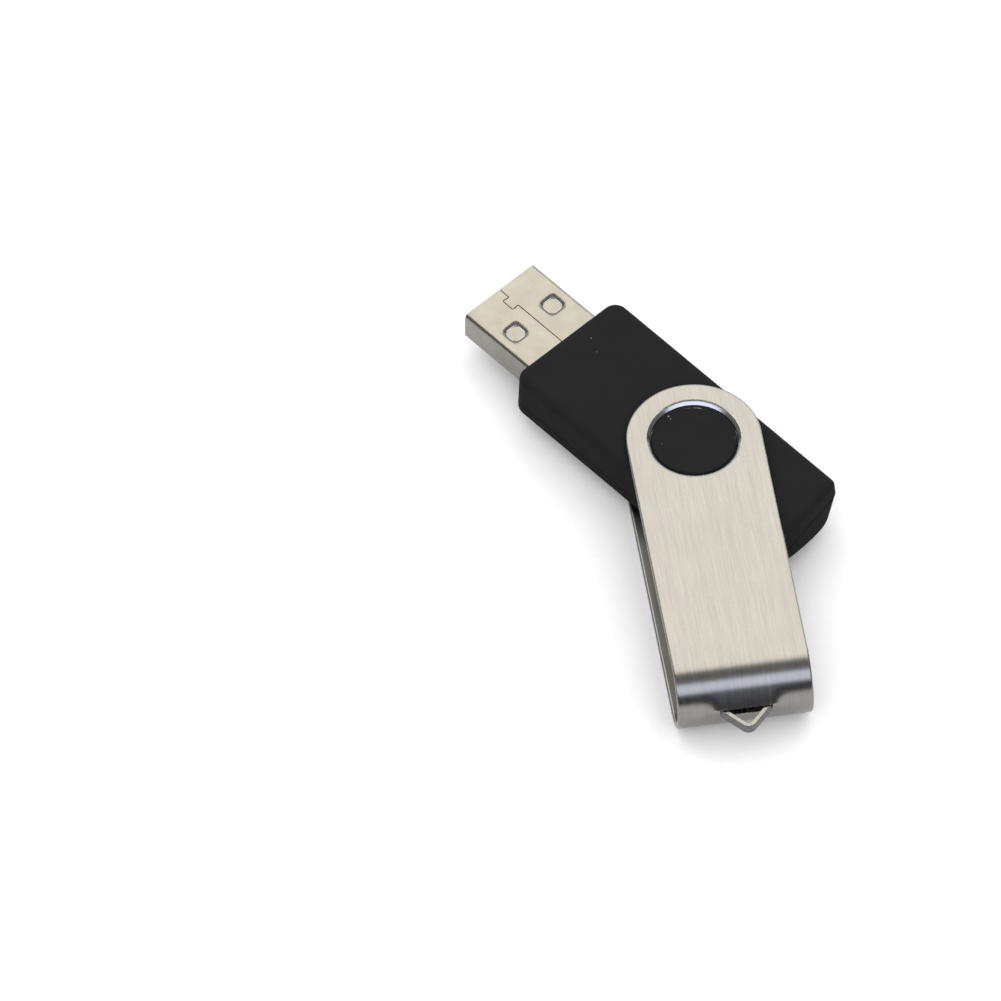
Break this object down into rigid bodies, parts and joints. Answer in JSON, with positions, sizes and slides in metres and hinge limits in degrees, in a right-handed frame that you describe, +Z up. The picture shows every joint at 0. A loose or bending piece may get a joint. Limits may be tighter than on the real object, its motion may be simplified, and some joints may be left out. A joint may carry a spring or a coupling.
{
  "type": "usb flash drive",
  "caption": "Swivel memory stick: black two-shell body with a metal plug, and a folded brushed steel cover with a lanyard loop that turns around the body to cover the plug.",
  "frame": {"origin": "on the swivel axis, in the plane of the cover's underside, which the stick rests on", "axes": "-X out of the body along the plug, +Z up along the swivel axis, cover swung out towards +X and -Y at rest"},
  "size_m": [0.0727, 0.0385, 0.01],
  "materials": {
    "soft_touch_black": "fine matte soft-touch",
    "brushed_cover_steel": "lengthwise brushed, polished edges",
    "nickel_plate": "satin nickel plate",
    "white_insulator": "moulded, satin",
    "gold_contact": "thin gold plate",
    "green_board": "solder mask, satin",
    "chip_epoxy": "moulded, fine grain",
    "tin_plate": "satin tin plate",
    "crystal_ceramic": "fired ceramic",
    "capacitor_ceramic": "fired ceramic",
    "resistor_film": "glazed",
    "led_resin": "cast resin",
    "solder": "bright"
  },
  "bodies": {
    "drive": {"upper_body_shell": "soft_touch_black", "lower_body_shell": "soft_touch_black", "plug_shell": "nickel_plate", "plug_insulator": "white_insulator", "contact_power": "gold_contact", "contact_data_minus": "gold_contact", "contact_data_plus": "gold_contact", "contact_ground": "gold_contact", "circuit_board": "green_board", "flash_memory_chip": "chip_epoxy", "flash_memory_leads": "tin_plate", "controller_chip": "chip_epoxy", "controller_leads": "tin_plate", "crystal_base": "crystal_ceramic", "crystal_lid": "tin_plate", "capacitor_bodies": "capacitor_ceramic", "capacitor_end_caps": "tin_plate", "resistor_bodies": "resistor_film", "resistor_end_caps": "tin_plate", "led_base": "white_insulator", "led_lens": "led_resin", "contact_solder_joints": "solder", "shell_solder_joints": "solder"},
    "cover": {"swivel_cover": "brushed_cover_steel"}
  },
  "joints": [
    {"name": "cover_swivel", "type": "hinge", "parent": "drive", "child": "cover", "pos_m": [0, 0, 0.005], "axis": [0, 0, 1], "continuous": true}
  ]
}
